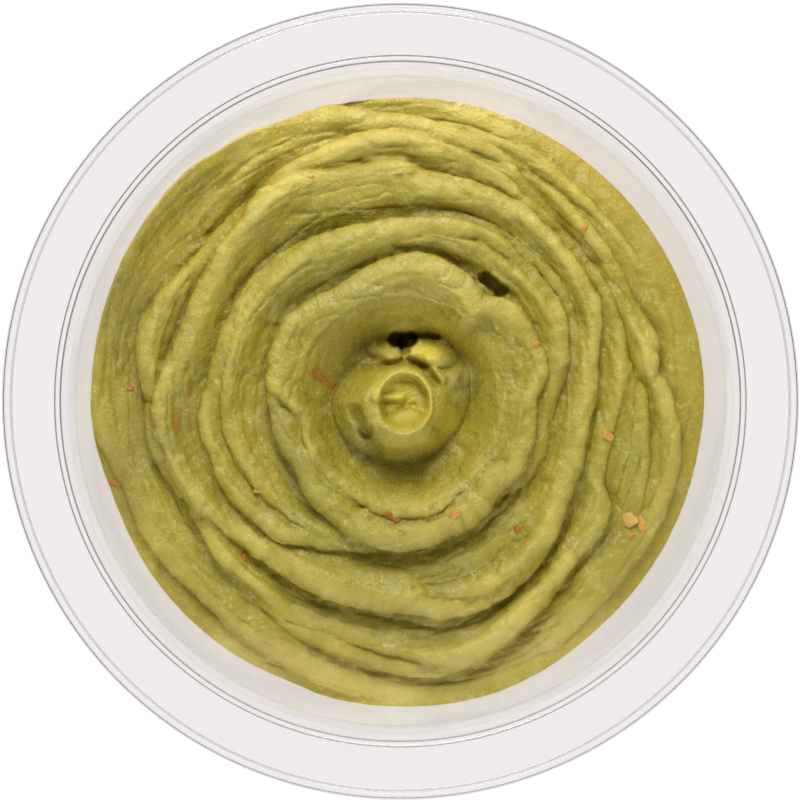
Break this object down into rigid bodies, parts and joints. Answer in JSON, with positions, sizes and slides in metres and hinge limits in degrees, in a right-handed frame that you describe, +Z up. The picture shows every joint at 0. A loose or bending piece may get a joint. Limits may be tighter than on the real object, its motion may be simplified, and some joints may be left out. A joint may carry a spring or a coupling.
{
  "type": "tub of guacamole",
  "caption": "Clear round deli pot with a flat flange, filled with piped guacamole whose top is a stack of soft folds round a small central curl.",
  "frame": {"origin": "on the pot's axis, at the plane that it stands on", "axes": "+Z up along the pot's axis; +X and +Y lie level, and the last turn of guacamole is pushed up the wall on the side between +Y and -X"},
  "size_m": [0.116, 0.116, 0.045],
  "materials": {
    "tub": "clear, thin, glossy",
    "guacamole": "moist, coarse mash"
  },
  "bodies": {
    "root": {"tub": "tub", "guacamole": "guacamole"}
  },
  "joints": []
}
